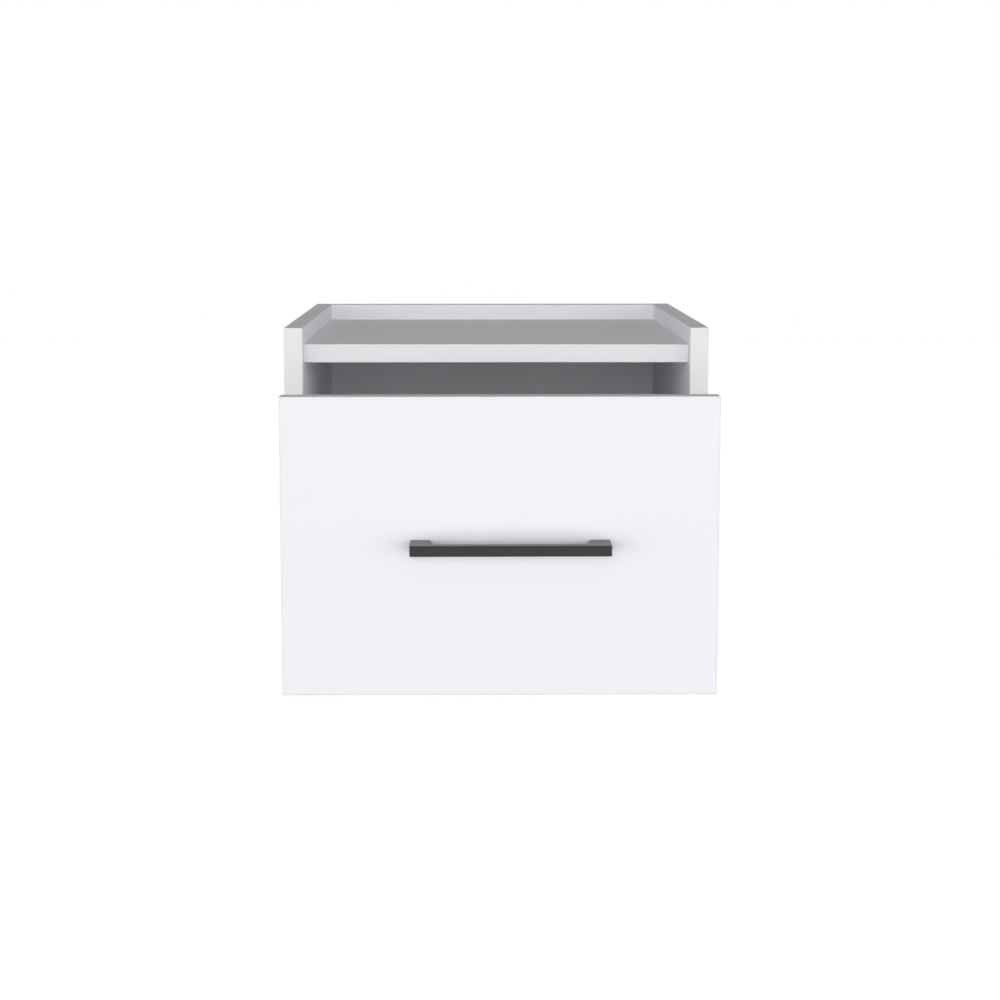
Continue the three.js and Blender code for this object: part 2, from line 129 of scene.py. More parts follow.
def length_value(label, description, default, low=0.0, high=1.0):
    """A length in metres, shown to a hundredth of a millimetre."""
    return number_value(
        label, description, default, low, high, precision=5, subtype="DISTANCE", unit="LENGTH",
    )


def share_value(label, description, default):
    """A share from 0 to 1."""
    return number_value(label, description, default, 0.0, 1.0, subtype="FACTOR")


def level_value(label, description, default):
    """The strength of one part of the surround's light."""
    return number_value(label, description, default, 0.0, 5.0)


def colour_value(label, description, screen):
    """A colour whose default is given in screen values from 0 to 255 and kept as linear ones."""
    share = np.array(screen) / 255
    linear = np.where(share > 0.04045, ((share + 0.055) / 1.055) ** 2.4, share / 12.92)
    return FloatVectorProperty(
        name=label, description=description, default=tuple(linear.tolist()), size=3, min=0.0, max=1.0,
        subtype="COLOR",
    )


class NIGHTSTAND_PG_boards(PropertyGroup):
    edge_radius: length_value("Edge radius", "Rounding of every banded edge", 0.8 * MM, 0.1 * MM, 3 * MM)
    edge_steps: IntProperty(
        name="Edge steps", description="Faces across each rounded edge", default=3, min=1, max=8,
    )
    band_thickness: length_value("Band thickness", "Thickness of the edge band", 1.0 * MM, 0.2 * MM, 3 * MM)
    melamine: colour_value("Melamine", "Colour of the faced boards", (241, 242, 245))
    band: colour_value("Edge band", "Colour of the edge band", (239, 240, 242))
    chipboard: colour_value("Chipboard", "Colour of the bare board edges", (190, 158, 116))
    sheet: colour_value("Sheet face", "Colour of the drawer bottom's painted face", (233, 233, 234))
    fibre: colour_value("Sheet back", "Colour of the drawer bottom's bare fibre side", (132, 96, 62))
    melamine_roughness: share_value("Board roughness", "Roughness of the faced boards", 0.75)


class NIGHTSTAND_PG_handle(PropertyGroup):
    corner_radius: length_value(
        "Corner radius", "Rounding of the handle's corners seen from above", 1.5 * MM, 0.6 * MM, 3 * MM,
    )
    edge_radius: length_value(
        "Edge radius", "Rounding of the handle's long edges", 0.5 * MM, 0.1 * MM, 0.6 * MM,
    )
    bar_depth: length_value("Bar depth", "Depth of the bar in front of the gap", 8 * MM, 4 * MM, 12 * MM)
    foot_base: length_value(
        "Foot at the drawer", "Width of each foot where it meets the drawer front", 14.2 * MM,
    )
    foot_at_bar: length_value("Foot at the bar", "Width of each foot where it meets the bar", 16.6 * MM)
    foot_bow: share_value("Foot bow", "Share of each foot's inner side that is bowed", 0.9)
    fillet: length_value("Inner radius", "Rounding between the feet and the bar", 1.4 * MM)
    coat: colour_value("Powder coat", "Colour of the dark metal", (35, 36, 38))
    roughness: share_value("Handle roughness", "Roughness of the powder coat", 0.32)


class NIGHTSTAND_PG_hardware(PropertyGroup):
    zinc: colour_value("Zinc", "Colour of the plated screws, cams and rivets", (186, 189, 194))
    plastic: colour_value("Plastic", "Colour of the rollers and screw caps", (240, 240, 236))
    runner_coat: colour_value("Runner coat", "Colour of the runners' baked coat", (228, 227, 221))
    thread_pitch: length_value(
        "Thread pitch", "Distance from one thread of a wood screw to the next", 2.4 * MM, 0.5 * MM, 5 * MM,
    )
    bend_radius: length_value(
        "Bend radius", "Outer radius where the runner sheet is bent", 1.3 * MM, 0.1 * MM, 1.4 * MM,
    )


class NIGHTSTAND_PG_stage(PropertyGroup):
    floor_height: length_value(
        "Floor height", "Height of the floor, measured from the middle of the cabinet", -0.6, -3.0, -0.2,
    )
    floor: colour_value("Floor", "Colour of the floor", (250, 250, 250))
    floor_lift: share_value("Floor lift", "White added to the floor where it is seen", 0.61)
    front_light: level_value("Front light", "Strength of the soft band of light in front", 2.2)
    high_light: level_value("High light", "Strength of the light from above", 0.27)
    rear_low_light: level_value("Rear low light", "Strength of the light from behind and below", 0.9)
    key_lamp: number_value(
        "Key lamp", "Power of the lamp behind and above the camera", 14.0, 0.0, 2000.0, unit="POWER",
    )
    lens: number_value("Lens", "Focal length of the camera", 69.50, 20.0, 200.0, unit="CAMERA")


# Shader maths

class Socket:
    """An output socket in a material. Arithmetic on it adds Math nodes."""

    def __init__(self, paint, output):
        self.paint = paint
        self.output = output

    def math(self, operation, first, second=0.0):
        return self.paint.node("ShaderNodeMath", {"operation": operation}, {0: first, 1: second})

    def __add__(self, other):
        return self.math("ADD", self, other)

    __radd__ = __add__

    def __sub__(self, other):
        return self.math("SUBTRACT", self, other)

    def __rsub__(self, other):
        return self.math("SUBTRACT", other, self)

    def __mul__(self, other):
        return self.math("MULTIPLY", self, other)

    __rmul__ = __mul__

    def __lt__(self, other):
        return self.math("LESS_THAN", self, other)

    def __gt__(self, other):
        return self.math("GREATER_THAN", self, other)

    def __abs__(self):
        return self.math("ABSOLUTE", self)


class Paint:
    """The nodes of one material, or of the world's light."""

    def __init__(self, owner):
        owner.use_nodes = True
        self.owner = owner
        self.tree = owner.node_tree
        self.tree.nodes.clear()

    def node(self, kind, settings=None, sockets=None, output=0):
        """Adds a node of this type, makes its settings, then fills its sockets with values or links."""
        made = self.tree.nodes.new(kind)
        for name, value in (settings or {}).items():
            if name == "stops":
                stops = made.color_ramp.elements
                while len(stops) < len(value):
                    stops.new(1.0)
                for stop, (position, tint) in zip(stops, value):
                    stop.position, stop.color = position, (*tint, 1.0)
            else:
                setattr(made, name, value)
        for name, value in (sockets or {}).items():
            if isinstance(value, Socket):
                self.tree.links.new(value.output, made.inputs[name])
            else:
                made.inputs[name].default_value = value
        return Socket(self, made.outputs[output])

    def split(self, vector):
        """The three parts of a vector."""
        first = self.node("ShaderNodeSeparateXYZ", sockets={0: vector})
        return [Socket(self, output) for output in first.output.node.outputs]

    def noise(self, vector, grain, detail=2.0, roughness=0.5):
        """Soft noise from 0 to 1 with features of about this size in metres."""
        return self.node(
            "ShaderNodeTexNoise",
            sockets={"Vector": vector, "Scale": 1 / grain, "Detail": detail, "Roughness": roughness},
        )

    def stretched(self, vector, scale):
        """The vector with each part multiplied by its own number."""
        return self.node("ShaderNodeVectorMath", {"operation": "MULTIPLY"}, {0: vector, 1: scale})

    def step(self, value, start, end):
        """0 before start, 1 after end and a smooth rise between, or a fall where start is above end."""
        low, high = (start, end) if start < end else (end, start)
        rise = self.node(
            "ShaderNodeMapRange",
            {"interpolation_type": "SMOOTHSTEP"},
            {"Value": value, "From Min": low, "From Max": high},
        )
        return rise if start < end else 1 - rise

    def extreme(self, operation, values):
        """The greatest of several values with MAXIMUM, or the smallest with MINIMUM."""
        found = values[0]
        for value in values[1:]:
            found = found.math(operation, found, value)
        return found

    def mix(self, factor, first, second):
        """The first colour at 0, the second at 1. The node's colours are inputs 6 and 7 and output 2."""
        colours = [c if isinstance(c, Socket) else (*c, 1.0) for c in (first, second)]
        return self.node(
            "ShaderNodeMix",
            {"data_type": "RGBA", "clamp_factor": True},
            {0: factor, 6: colours[0], 7: colours[1]},
            output=2,
        )

    def shades(self, factor, tint, dark, light=1.0):
        """One colour in two shades: multiplied by dark at 0 and by light at 1."""
        return self.mix(factor, tinted(tint, dark), tinted(tint, light))

    def finish(self, base, roughness, metallic=0.0, specular=0.5, height=None, lift=0.0):
        """The surface itself. height, from 0 to 1, raises it by at most lift metres."""
        sockets = {
            "Base Color": base,
            "Roughness": roughness,
            "Metallic": metallic,
            "Specular IOR Level": specular,
        }
        if height is not None:
            sockets["Normal"] = self.node("ShaderNodeBump", sockets={"Distance": lift, "Height": height})
        return self.end(self.node("ShaderNodeBsdfPrincipled", sockets=sockets))

    def end(self, shader, kind="ShaderNodeOutputMaterial"):
        """Ends the nodes with this shader and gives back what they belong to."""
        output = self.tree.nodes.new(kind)
        self.tree.links.new(shader.output, output.inputs["Surface"])
        return self.owner


def paint(name):
    """A new material to write, and the point on the piece in metres in the shared frame."""
    coat = Paint(bpy.data.materials.new(name))
    return coat, coat.node("ShaderNodeTexCoord", output="Object")


def tinted(tint, amount):
    """A colour made darker below 1 or lighter above it."""
    return tuple(min(1.0, part * amount) for part in tint)


# Finishes

def chipboard_paint(coat, place, thin, tint):
    """Colour and height of pressed wood chips that lie flat across the board's thickness."""
    chip, dust_grain = 2.6 * MM, 0.35 * MM
    flat = [1.0, 1.0, 1.0]
    flat[thin] = 3.2
    chips = coat.node(
        "ShaderNodeTexVoronoi",
        {"feature": "F1"},
        {"Vector": coat.stretched(place, flat), "Scale": 1 / chip, "Randomness": 1.0},
        output="Color",
    )
    chip_tone = coat.split(chips)[0]
    dust = coat.noise(place, dust_grain, detail=3.0, roughness=0.65)
    tone = 0.65 * chip_tone + 0.35 * dust
    shade = coat.node(
        "ShaderNodeValToRGB",
        {"stops": [(0.15, tinted(tint, 0.42)), (0.5, tint), (0.85, tinted(tint, 1.45))]},
        {0: tone},
    )
    return shade, tone


def board_paint(name, low, high, thin, banded, boards):
    """White melamine facing, edge band with its fine joint line, and bare chipboard in the holes and on the
    faces that carry neither."""
    coat, place = paint(name)
    band_edge, joint, hole_depth, face_depth = boards.band_thickness, 0.12 * MM, 0.3 * MM, 0.1 * MM
    parts = coat.split(place)
    middle, half = (low + high) / 2, (high - low) / 2
    centred = [parts[i] - middle[i] for i in range(3)]
    from_banded = [half[axis] - side * centred[axis] for axis, side in (FACES[f] for f in banded)]
    bands = [coat.step(d, band_edge + joint / 2, band_edge - joint / 2) for d in from_banded]
    band = coat.extreme("MAXIMUM", bands)
    line = coat.extreme("MAXIMUM", [coat.step(abs(d - band_edge), joint, 0.0) for d in from_banded])
    bare_faces = [FACES[f] for f in FACES if f not in banded and FACES[f][0] != thin]
    depth = coat.extreme("MINIMUM", [half[i] - abs(centred[i]) for i in range(3)])
    in_hole = depth > hole_depth
    on_bare = [(half[axis] - side * centred[axis]) < face_depth for axis, side in bare_faces]
    bare = coat.extreme("MAXIMUM", [in_hole] + on_bare) * (1 - band)
    chips, chip_height = chipboard_paint(coat, place, thin, boards.chipboard)
    pearl = coat.noise(place, 0.9 * MM, detail=3.0, roughness=0.6)
    cloud = coat.noise(place, 70 * MM)
    face = coat.shades(cloud, boards.melamine, 0.988)
    face = coat.mix(band, face, boards.band)
    face = coat.mix(line * 0.35, face, tinted(boards.melamine, 0.55))
    gloss = boards.melamine_roughness - 0.04 + 0.08 * pearl + 0.1 * band
    return coat.finish(
        coat.mix(bare, face, chips),
        gloss * (1 - bare) + 0.92 * bare,
        specular=0.12,
        height=(0.12 * pearl - 0.3 * line) * (1 - bare) + chip_height * bare,
        lift=0.12 * MM,
    )


def sheet_paint(top, boards):
    """Drawer bottom: a painted face above, and brown fibre with a pressed screen pattern elsewhere."""
    coat, place = paint("drawer_sheet")
    coat_depth, mesh_width = 0.1 * MM, 1.3 * MM
    x, y, z = coat.split(place)
    above = z > top - coat_depth
    fuzz = coat.noise(coat.stretched(place, (1.0, 1.0, 2.0)), 1.1 * MM, detail=4.0, roughness=0.7)
    weave = 2 * math.pi / mesh_width
    screen = x.math("SINE", x * weave) * y.math("SINE", y * weave) * 0.5 + 0.5
    fibre = coat.shades(0.6 * fuzz + 0.4 * screen, boards.fibre, 0.6, 1.35)
    painted = coat.shades(fuzz, boards.sheet, 0.965)
    return coat.finish(
        coat.mix(above, fibre, painted),
        0.9 - 0.42 * above + 0.06 * fuzz,
        height=(0.5 * fuzz + 0.5 * screen) * (1 - above) + 0.12 * fuzz * above,
        lift=0.15 * MM,
    )


def powder_coat_paint(handle):
    """Dark powder coat: a fine pebbled skin, a little glossier on its raised grains."""
    coat, place = paint("dark_powder_coat")
    grain = coat.noise(place, 0.28 * MM, detail=3.0, roughness=0.6)
    ripple = coat.noise(place, 1.6 * MM)
    tone = 0.7 * grain + 0.3 * ripple
    return coat.finish(
        coat.shades(tone, handle.coat, 0.8, 1.2),
        handle.roughness + 0.06 - 0.12 * tone,
        height=tone,
        lift=0.035 * MM,
    )


def zinc_paint(name, hardware):
    """Bright zinc plate: metal with faint blue and straw patches and fine rolling marks."""
    coat, place = paint(name)
    patches = coat.noise(place, 2.2 * MM, detail=3.0, roughness=0.6)
    marks = coat.noise(coat.stretched(place, (1.0, 1.0, 6.0)), 0.5 * MM, roughness=0.6)
    straw = [part * share for part, share in zip(hardware.zinc, (1.04, 1.0, 0.9))]
    return coat.finish(
        coat.mix(patches, tinted(hardware.zinc, 0.86), straw),
        0.28 + 0.16 * marks + 0.08 * patches,
        metallic=1.0,
        height=marks,
        lift=0.01 * MM,
    )


def plastic_paint(name, hardware):
    """Moulded plastic: a faint cloud in the colour and the soft sparkle of a textured mould."""
    coat, place = paint(name)
    cloud = coat.noise(place, 5 * MM)
    mould = coat.noise(place, 0.22 * MM, roughness=0.6)
    return coat.finish(
        coat.shades(cloud, hardware.plastic, 0.965),
        0.42 + 0.12 * mould,
        height=mould,
        lift=0.012 * MM,
    )


# The slots whose pieces all share one material
SHARED_FINISHES = {
    "zinc_steel": ("zinc_plate", zinc_paint),
    "white_plastic": ("white_plastic", plastic_paint),
}


def shared_material(slot):
    """The one material that all pieces in this slot share, made at its first use."""
    name, write = SHARED_FINISHES[slot]
    return bpy.data.materials.get(name) or write(name, bpy.context.scene.nightstand_hardware)


def runner_paint(name, track_height, hardware):
    """Baked coat on steel: light orange peel, and a dull grey line worn by the rollers along the track."""
    coat, place = paint(name)
    parts = coat.split(place)
    peel = coat.noise(place, 0.8 * MM)
    streak = coat.noise(coat.stretched(place, (1.0, 0.04, 1.0)), 0.9 * MM, detail=3.0, roughness=0.6)
    on_track = coat.step(abs(parts[2] - track_height), 0.2 * MM, 0.05 * MM)
    worn = on_track * coat.step(streak, 0.35, 0.65) * 0.6
    return coat.finish(
        coat.mix(worn, coat.shades(peel, hardware.runner_coat, 0.96), hardware.zinc),
        0.4 + 0.1 * peel - 0.08 * worn,
        metallic=0.5 * worn,
        height=peel,
        lift=0.03 * MM,
    )


# Surfaces worked out on arrays

def rounded_corners(corners, radii, steps):
    """A closed outline with each corner rounded by an arc that touches its two sides.
    p and q are unit vectors from the corner to its neighbours and h is half the angle between them. The arc
    of radius r has its centre at corner + (p + q) / |p + q| * r / sin(h), and its ends at
    corner + p * r / tan(h) and corner + q * r / tan(h). A point at share t of it is
    centre + (a * sin((1 - t) * w) + b * sin(t * w)) / sin(w), with a and b from the centre to the ends and
    w the angle between them."""
    corners = np.asarray(corners, float)
    radii = np.asarray(radii, float)[:, None]

    def unit(vectors):
        return vectors / np.linalg.norm(vectors, axis=1, keepdims=True)

    p = unit(np.roll(corners, 1, axis=0) - corners)
    q = unit(np.roll(corners, -1, axis=0) - corners)
    h = np.arccos(np.clip((p * q).sum(1, keepdims=True), -1, 1)) / 2
    centre = corners + unit(p + q) * radii / np.sin(h)
    a = corners + p * radii / np.tan(h) - centre
    b = corners + q * radii / np.tan(h) - centre
    w = (math.pi - 2 * h)[:, :, None]
    t = np.linspace(0, 1, steps + 1)[None, :, None]
    arcs = centre[:, None] + (a[:, None] * np.sin((1 - t) * w) + b[:, None] * np.sin(t * w)) / np.sin(w)
    points = arcs.reshape(-1, 2)
    apart = np.linalg.norm(points - np.roll(points, 1, axis=0), axis=1) > SAME_POINT
    return points[apart]


def band_faces(rows, columns, first=0, joined=False):
    """Four-sided faces between the rows of a grid whose columns close round. If joined, the last row also
    meets the first."""
    down = np.arange(rows if joined else rows - 1)[:, None]
    across = np.arange(columns)[None, :]
    here, there = down * columns, (down + 1) % rows * columns
    beside = (across + 1) % columns
    quads = np.stack([here + across, here + beside, there + beside, there + across], axis=-1)
    return first + quads.reshape(-1, 4)


def fan_faces(ring, pole):
    """Three-sided faces from a closed ring of points to one point."""
    return np.stack([ring, np.roll(ring, -1), np.full(len(ring), pole)], axis=-1)


def ring_points(radii, along, angles):
    """Rings about the third axis. Row i at angle t is (radius * cos(t), radius * sin(t), along)."""
    level = np.repeat(along[:, None], len(angles), axis=1)
    return np.stack([radii * np.cos(angles), radii * np.sin(angles), level], axis=-1).reshape(-1, 3)


def turned(outline, steps):
    """A turned surface: each point of the outline, a radius and a distance, is carried round as a ring. A
    point on the axis stays one point, and an outline that never meets the axis closes on itself."""
    angles = np.arange(steps) * (2 * math.pi / steps)
    on_axis = outline[:, 0] < SAME_POINT
    rows = outline[~on_axis]
    rings = ring_points(rows[:, :1], rows[:, 1], angles)
    if not on_axis.any():
        return rings, [band_faces(len(rows), steps, joined=True)]
    poles = np.column_stack([np.zeros((2, 2)), outline[on_axis][[0, -1], 1]])
    ring = np.arange(steps)
    last = (len(rows) - 1) * steps
    faces = [
        band_faces(len(rows), steps),
        fan_faces(ring[::-1], len(rings)),
        fan_faces(last + ring, len(rings) + 1),
    ]
    return np.concatenate([rings, poles]), faces


def cross_recess(width, span, depth):
    """The depth of a cross cut in a head at (x, y). With n the smaller and m the larger of |x| and |y|, it
    is depth * (wall_top - n) / wall_run * (end_top - m) / end_run, each fraction held between 0 and 1."""
    wall_top, wall_run = width * 1.3, width * 0.6
    end_top, end_run = span * 1.1, span * 0.25

    def depth_at(x, y):
        near, far = np.minimum(abs(x), abs(y)), np.maximum(abs(x), abs(y))
        walls = np.clip((wall_top - near) / wall_run, 0, 1)
        ends = np.clip((end_top - far) / end_run, 0, 1)
        return depth * walls * ends

    return depth_at


def screw_cross(head, depth):
    """The cross recess of a screw whose head has this radius."""
    return cross_recess(0.12 * head, 0.48 * head, depth)


# Grid lines across a screw's head from rim to rim, as shares of its radius. They lie closest at the recess
HALF_LINE_SHARES = [0.08, 0.17, 0.42, 0.56, 0.75, 0.93, 1]
HEAD_LINES = np.array([-share for share in reversed(HALF_LINE_SHARES)] + [0] + HALF_LINE_SHARES)


def headed(lines, head_radius, face, body):
    """A round piece whose face is a square grid carried onto a disc, and whose body is rings under its rim.
    The face at (u, v) is x = R * u * sqrt(1 - v * v / 2), y = R * v * sqrt(1 - u * u / 2), at depth
    face(x, y). The rings have a point at each of the rim's angles, and the body ends in one point. body
    takes the angles and gives the radii, rows by angles, and the distances along."""
    u, v = np.meshgrid(lines, lines, indexing="ij")
    x, y = head_radius * u * np.sqrt(1 - v * v / 2), head_radius * v * np.sqrt(1 - u * u / 2)
    top = np.stack([x, y, face(x, y)], axis=-1).reshape(-1, 3)
    count = len(lines)
    index = np.arange(count * count).reshape(count, count)
    rim = np.concatenate([index[0, :-1], index[:-1, -1], index[-1, :0:-1], index[:0:-1, 0]])
    angles = np.arctan2(top[rim, 1], top[rim, 0])
    radii, along = body(angles)
    rings = ring_points(radii, along, angles)
    start, around = len(top), len(rim)
    first = start + np.arange(around)
    last = first + (len(along) - 1) * around
    corners = [index[:-1, :-1], index[1:, :-1], index[1:, 1:], index[:-1, 1:]]
    squares = np.stack(corners, axis=-1).reshape(-1, 4)
    collar = np.stack([rim, np.roll(rim, -1), np.roll(first, -1), first], axis=-1)
    end = np.array([[0.0, 0.0, along[-1]]])
    faces = [squares, collar, band_faces(len(along), around, start), fan_faces(last, start + len(rings))]
    return np.concatenate([top, rings, end]), faces


def screw_body(rows, thread_start, thread_end, root, pitch):
    """Radii and distances of a screw's body. Plain rows give radius and distance. Between thread_start and
    thread_end, with four rows to a turn, the radius at distance s and angle t is
    root + (crest - root) * wave(s / pitch - t / turn), where wave runs up and down between 0 and 1 once a
    turn and crest is the plain radius there."""
    rows = np.asarray(rows, float)

    def body(angles):
        inside = np.arange(thread_start, thread_end, pitch / 4)
        plain_before = rows[rows[:, 1] <= thread_start]
        plain_after = rows[rows[:, 1] > thread_end]
        along = np.concatenate([plain_before[:, 1], inside, plain_after[:, 1]])
        crest = np.interp(inside, rows[:, 1], rows[:, 0])[:, None]
        turn = inside[:, None] / pitch - angles[None, :] / (2 * math.pi)
        wave = abs(2 * (turn % 1) - 1)
        core = np.minimum(root, crest)
        cut_radii = core + (crest - core) * wave
        across = np.ones((1, len(angles)))
        radii = np.concatenate([plain_before[:, :1] * across, cut_radii, plain_after[:, :1] * across])
        return radii, along

    return body


def plain_body(rows):
    """Radii and distances of a body without a thread."""
    rows = np.asarray(rows, float)
    return lambda angles: (rows[:, :1] * np.ones((1, len(angles))), rows[:, 1])


def offset_inwards(outline, amount):
    """Each point of a closed outline that runs anticlockwise, moved left of its direction by this amount.
    The direction at a point is the sum of the unit vectors of the sides before and after it."""
    after = np.roll(outline, -1, axis=0) - outline
    after /= np.linalg.norm(after, axis=1, keepdims=True)
    direction = after + np.roll(after, 1, axis=0)
    direction /= np.linalg.norm(direction, axis=1, keepdims=True)
    return outline + amount * np.column_stack([-direction[:, 1], direction[:, 0]])


def flat_bar(outline, height, radius, steps):
    """A plan outline given a height, with its upper and lower edges rounded. At angle t, from 0 to a
    quarter turn, it moves in by radius * (1 - sin(t)) at radius * (1 - cos(t)) from the flat face."""
    t = np.linspace(0, math.pi / 2, steps + 1)
    inset, rise = radius * (1 - np.sin(t)), radius * (1 - np.cos(t))
    insets = np.concatenate([inset, inset[::-1]])
    levels = np.concatenate([rise - height / 2, height / 2 - rise[::-1]])
    count = len(outline)
    rings = np.stack([
        np.column_stack([offset_inwards(outline, i), np.full(count, z)]) for i, z in zip(insets, levels)
    ])
    lower = np.arange(count)[None, ::-1]
    upper = (len(levels) - 1) * count + np.arange(count)[None, :]
    return rings.reshape(-1, 3), [band_faces(len(levels), count), lower, upper]


def set_along(points, origin, along):
    """Local points (a, b, s) in the frame: origin + a * across + b * up + s * along. across is Y for a
    piece that lies along X and X otherwise, and up is along x across."""
    along = np.asarray(along, float)
    across = np.array([0.0, 1.0, 0.0] if along[0] else [1.0, 0.0, 0.0])
    return origin + points @ np.stack([across, np.cross(along, across), along])


# Pieces

def closed_mesh(name, points, faces):
    """A mesh of these points and faces. The sum over its triangles of a . (b x c), six times its volume,
    tells which way the faces point, and they are turned round if it is negative."""
    volume = 0.0
    for group in faces:
        a = points[group[:, :1]]
        b, c = points[group[:, 1:-1]], points[group[:, 2:]]
        volume += (np.broadcast_to(a, b.shape) * np.cross(b, c)).sum()
    if volume < 0:
        faces = [group[:, ::-1] for group in faces]
    mesh = bpy.data.meshes.new(name)
    mesh.from_pydata(points.tolist(), [], [face for group in faces for face in group.tolist()])
    return mesh


def smooth_faces(mesh, sharp_above):
    """Smooth shading, broken where faces meet at more than this angle in degrees."""
    mesh.polygons.foreach_set("use_smooth", np.ones(len(mesh.polygons), bool))
    mesh.set_sharp_from_angle(angle=math.radians(sharp_above))
    mesh.update()


def add_piece(name, mesh, body, material, nodes=()):
    """A piece of the nightstand from this mesh, on its body, standing for these CAD nodes."""
    piece = bpy.data.objects.new(name, mesh)
    bpy.context.scene.collection.objects.link(piece)
    mesh.materials.clear()
    mesh.materials.append(material)
    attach(piece, body)
    if nodes:
        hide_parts(*nodes)
    return piece


def body_of(node):
    """The name of the body that a CAD node belongs to."""
    return frame["nodes"][node]["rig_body"]


def add_surface(name, points, faces, body, material, nodes=()):
    """A piece from worked-out points and faces, with wide faces kept flat where they meet narrow ones."""
    mesh = closed_mesh(name, points, faces)
    smooth_faces(mesh, sharp_above=32)
    piece = add_piece(name, mesh, body, material, nodes)
    weighted = piece.modifiers.new("flat_faces", "WEIGHTED_NORMAL")
    weighted.keep_sharp = True


def add_round(name, shape, node, along, slot="zinc_steel"):
    """A round piece in place of a CAD node, from the node's end and in this direction along its axis."""
    points, faces = shape
    points = set_along(points, start_of(node, along), along)
    add_surface(name, points, faces, body_of(node), shared_material(slot), [node])


def merged_copy(node, name):
    """A copy of a CAD node's mesh with its loose triangles joined into whole faces."""
    one_point, one_face = TOUCH / 10, math.radians(0.5)
    copy = bmesh.new()
    copy.from_mesh(frame["nodes"][node].data)
    bmesh.ops.remove_doubles(copy, verts=copy.verts, dist=one_point)
    bmesh.ops.dissolve_limit(copy, angle_limit=one_face, verts=copy.verts, edges=copy.edges)
    mesh = bpy.data.meshes.new(name)
    copy.to_mesh(mesh)
    copy.free()
    if "custom_normal" in mesh.attributes:
        mesh.attributes.remove(mesh.attributes["custom_normal"])
    return mesh


def mesh_arrays(mesh):
    """A mesh's points, and the two point numbers of each edge."""
    points = np.empty(len(mesh.vertices) * 3, np.float32)
    mesh.vertices.foreach_get("co", points)
    edges = np.empty(len(mesh.edges) * 2, np.int32)
    mesh.edges.foreach_get("vertices", edges)
    return points.reshape(-1, 3).astype(float), edges.reshape(-1, 2)


def add_softened(name, node, weigh, radius, steps, material):
    """A piece from a CAD node's own mesh with its edges rounded. weigh takes the mesh's points and edges
    and gives each edge a weight: it is rounded by radius times that weight, and stays crisp at 0."""
    mesh = merged_copy(node, name)
    smooth_faces(mesh, sharp_above=30)
    weights = weigh(*mesh_arrays(mesh))
    sharp = mesh.attributes.get("sharp_edge") or mesh.attributes.new("sharp_edge", "BOOLEAN", "EDGE")
    is_sharp = np.empty(len(mesh.edges), bool)
    sharp.data.foreach_get("value", is_sharp)
    sharp.data.foreach_set("value", is_sharp & (weights <= 0))
    rounding = mesh.attributes.new("bevel_weight_edge", "FLOAT", "EDGE")
    rounding.data.foreach_set("value", weights.astype(np.float32))
    piece = add_piece(name, mesh, body_of(node), material, [node])
    bevel = piece.modifiers.new("rounded_edges", "BEVEL")
    bevel.limit_method = "WEIGHT"
    bevel.width = radius
    bevel.segments = steps
    bevel.harden_normals = True


def add_board(node, thin_axis, banded, boards):
    """A board from its CAD node. The edges where faced or banded sides meet are rounded."""
    thin = AXES[thin_axis]
    low, high = node_box(node)

    def weigh(points, edges):
        on_face = np.concatenate([abs(points - low) < TOUCH, abs(points - high) < TOUCH], axis=1)
        finished = np.array([f in banded or FACES[f][0] == thin for f in FACES])
        shared = (on_face[edges[:, 0]] & on_face[edges[:, 1]] & finished).sum(axis=1)
        return (shared >= 2).astype(float)

    material = board_paint(node + "_finish", low, high, thin, banded, boards)
    add_softened(
        node + "_board", node, weigh, boards.edge_radius, boards.edge_steps, material,
    )


class NIGHTSTAND_OT_cabinet_boards(Operator):
    """Make the cabinet's five boards"""
    bl_idname = "nightstand.cabinet_boards"
    bl_label = "Cabinet Boards"

    def execute(self, context):
        for node, (thin, banded) in CABINET_BOARDS.items():
            add_board(node, thin, banded, context.scene.nightstand_boards)
        return {"FINISHED"}


class NIGHTSTAND_OT_drawer_boards(Operator):
    """Make the drawer's front, sides, back and bottom sheet"""
    bl_idname = "nightstand.drawer_boards"
    bl_label = "Drawer Boards"

    def execute(self, context):
        boards = context.scene.nightstand_boards
        for node, (thin, banded) in DRAWER_BOARDS.items():
            add_board(node, thin, banded, boards)
        _, high = node_box("drawer_bottom")
        edge_radius, edge_steps = 0.25 * MM, 2
        add_softened(
            "drawer_bottom_sheet", "drawer_bottom", lambda points, edges: np.ones(len(edges)),
            edge_radius, edge_steps, sheet_paint(float(high[2]), boards),
        )
        return {"FINISHED"}


class NIGHTSTAND_OT_handle(Operator):
    """Make the bar handle"""
    bl_idname = "nightstand.handle"
    bl_label = "Handle"

    def execute(self, context):
        handle = context.scene.nightstand_handle
        low, high = node_box("handle")
        middle = (low + high) / 2
        half, reach, height = (high[0] - low[0]) / 2, high[1] - low[1], high[2] - low[2]
        outer_end, inner_end, corner_steps, edge_steps = 0.6 * MM, 1.0 * MM, 8, 5
        foot, corner, inner = half - handle.foot_base, half - handle.foot_at_bar, handle.bar_depth - reach
        bend = math.atan2(foot - corner, -inner / 2)
        bow = handle.foot_bow * (-inner / 2 - handle.fillet) / math.tan(bend / 2)
        plan = [
            (-half, 0), (-half, -reach), (half, -reach), (half, 0),
            (foot, 0), (corner, inner / 2), (corner, inner),
            (-corner, inner), (-corner, inner / 2), (-foot, 0),
        ]
        bar_radii = [outer_end, handle.corner_radius, handle.corner_radius, outer_end]
        foot_radii = [inner_end, bow, handle.fillet]
        outline = rounded_corners(plan, bar_radii + foot_radii + foot_radii[::-1], corner_steps)
        points, faces = flat_bar(outline, height, handle.edge_radius, edge_steps)
        points = points + np.array([middle[0], high[1], middle[2]])
        add_surface(
            "bar_handle", points, faces, body_of("handle"), powder_coat_paint(handle),
            ["handle"],
        )
        return {"FINISHED"}


